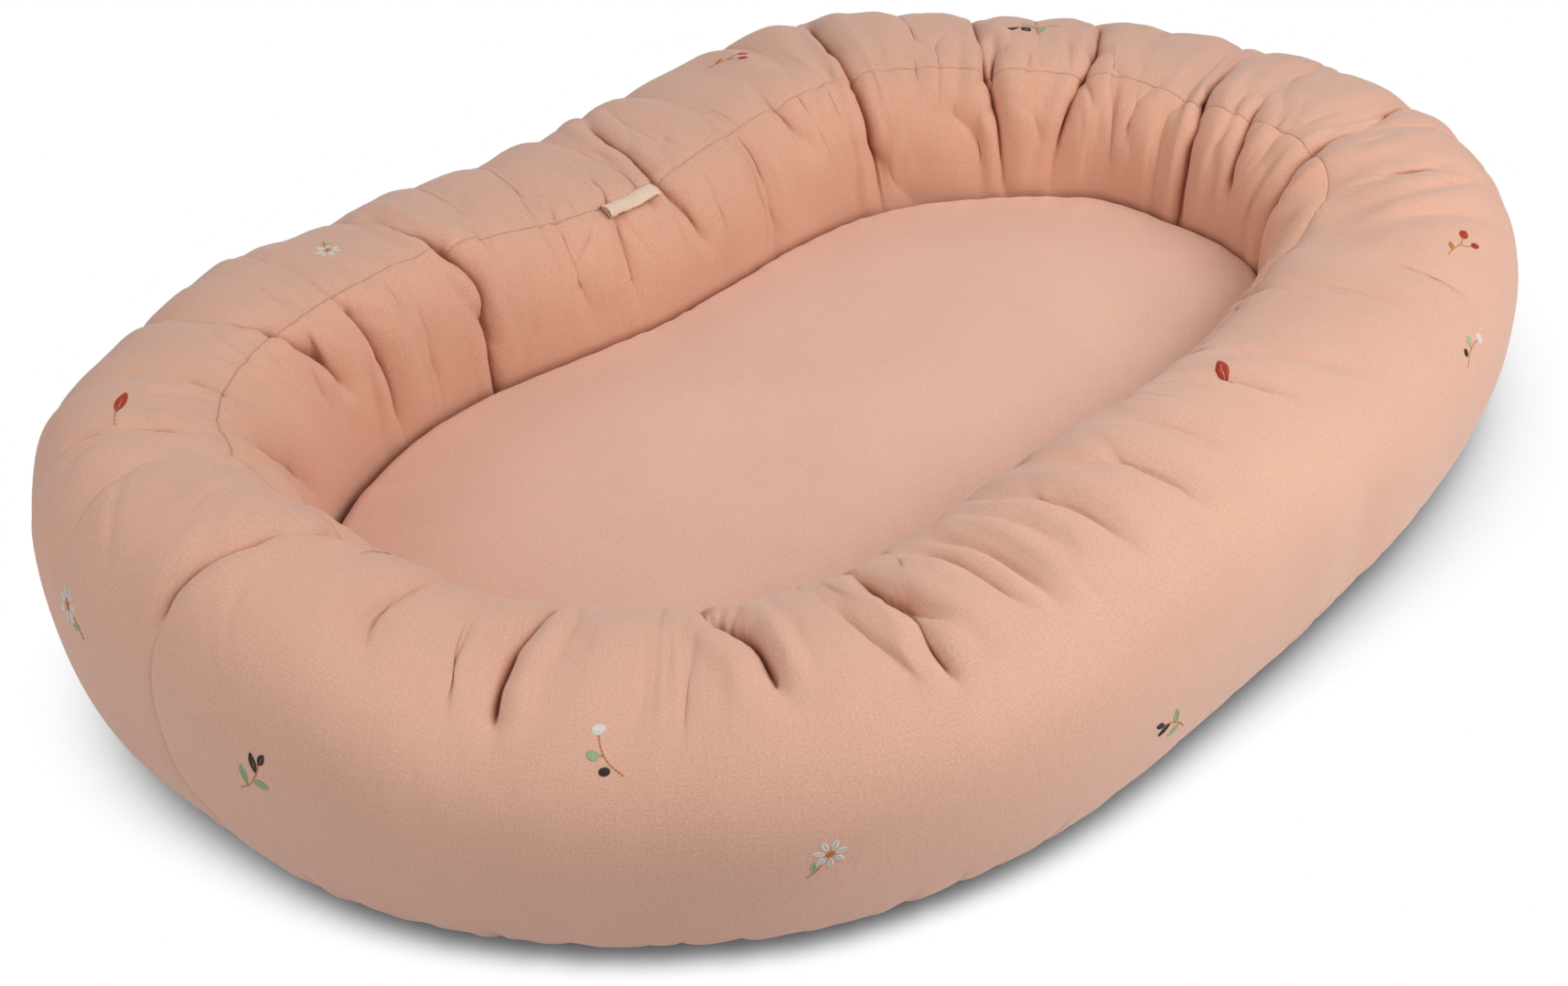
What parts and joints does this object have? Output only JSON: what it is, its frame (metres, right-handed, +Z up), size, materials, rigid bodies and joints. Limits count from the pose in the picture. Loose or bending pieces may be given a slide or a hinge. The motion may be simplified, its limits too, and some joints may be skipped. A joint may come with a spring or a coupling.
{
  "type": "infant lounger",
  "caption": "Padded oval baby nest: a stuffed ring bumper sewn to a flat base round a loose zipped mattress that lifts out.",
  "frame": {"origin": "on the floor under the middle of the outside box", "axes": "+X along the long axis, towards the foot end with the closed end of the zip; +Z up; +Y towards the side with the label"},
  "size_m": [0.9, 0.612, 0.1778],
  "materials": {
    "cotton": "plain woven peach cotton, matte, slightly gathered",
    "lining": "plain woven peach cotton",
    "fibre": "white polyester fibre stuffing",
    "label_tape": "blank off-white satin tape",
    "zip_tape": "woven polyester zip tape",
    "zip_coil": "moulded nylon coil",
    "zip_metal": "plated zinc",
    "thread": "embroidery and sewing thread"
  },
  "bodies": {
    "nest": {"base_panel": "lining", "base_lining": "lining", "bumper_filling": "fibre", "bumper_outer_panel": "cotton", "bumper_inner_panel": "cotton", "side_label": "label_tape"},
    "mattress": {"mattress_core": "fibre", "mattress_top_panel": "cotton", "mattress_bottom_panel": "lining", "zip_tape_left": "zip_tape", "zip_tape_right": "zip_tape", "zip_coil_left": "zip_coil", "zip_coil_right": "zip_coil", "zip_bottom_stop": "zip_metal", "zip_top_stop_left": "zip_metal", "zip_top_stop_right": "zip_metal"},
    "slider": {"zip_slider": "zip_metal", "zip_pull": "zip_metal"}
  },
  "joints": [
    {"name": "mattress_lift", "type": "slide", "parent": "nest", "child": "mattress", "axis": [0, 0, 1], "range_m": [0, 0.25]},
    {"name": "zip_slide", "type": "slide", "parent": "mattress", "child": "slider", "axis": [-1, 0, 0], "range_m": [0, 0.36]}
  ]
}
